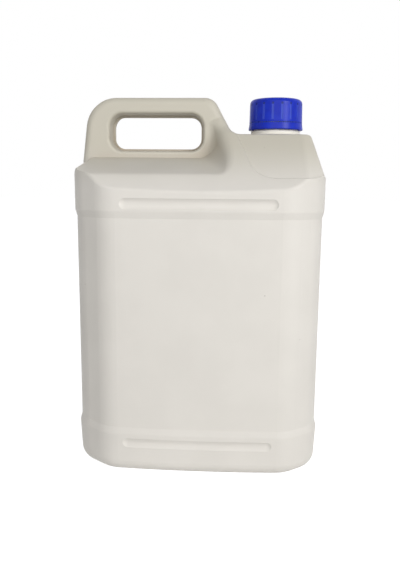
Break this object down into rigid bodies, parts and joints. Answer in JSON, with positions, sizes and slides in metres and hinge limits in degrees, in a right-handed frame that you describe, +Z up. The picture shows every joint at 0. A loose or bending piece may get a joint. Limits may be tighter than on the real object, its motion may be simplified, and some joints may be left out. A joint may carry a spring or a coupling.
{
  "type": "cleaning fluid jug",
  "caption": "Blow-moulded plastic jug with a through handle, cut corners, a sloped shoulder and an off-centre neck closed by a screw cap over a tamper band.",
  "frame": {"origin": "on the floor under the middle of the jug's base", "axes": "+Z up, +X from the handle towards the neck, +Y from the front towards the back"},
  "size_m": [0.187, 0.134, 0.2812],
  "materials": {
    "jug_plastic": "natural off-white moulded plastic, satin",
    "cap_plastic": "deep blue moulded plastic, semi-gloss",
    "liner_foam": "white closed-cell foam, matt"
  },
  "bodies": {
    "jug": {"jug_body": "jug_plastic", "tamper_band": "cap_plastic"},
    "liner": {"cap_liner": "liner_foam"},
    "cap": {"screw_cap": "cap_plastic"}
  },
  "joints": [
    {"name": "cap_lift", "type": "slide", "parent": "jug", "child": "liner", "axis": [0, 0, 1], "range_m": [0, 0.007]},
    {"name": "cap_turn", "type": "hinge", "parent": "liner", "child": "cap", "pos_m": [0.0578, 0, 0.27], "axis": [0, 0, 1], "range_deg": [0, 630]}
  ],
  "couplings": [
    {"joint": "cap_lift", "follows": "cap_turn", "m_per_rad": 0.00063662}
  ]
}
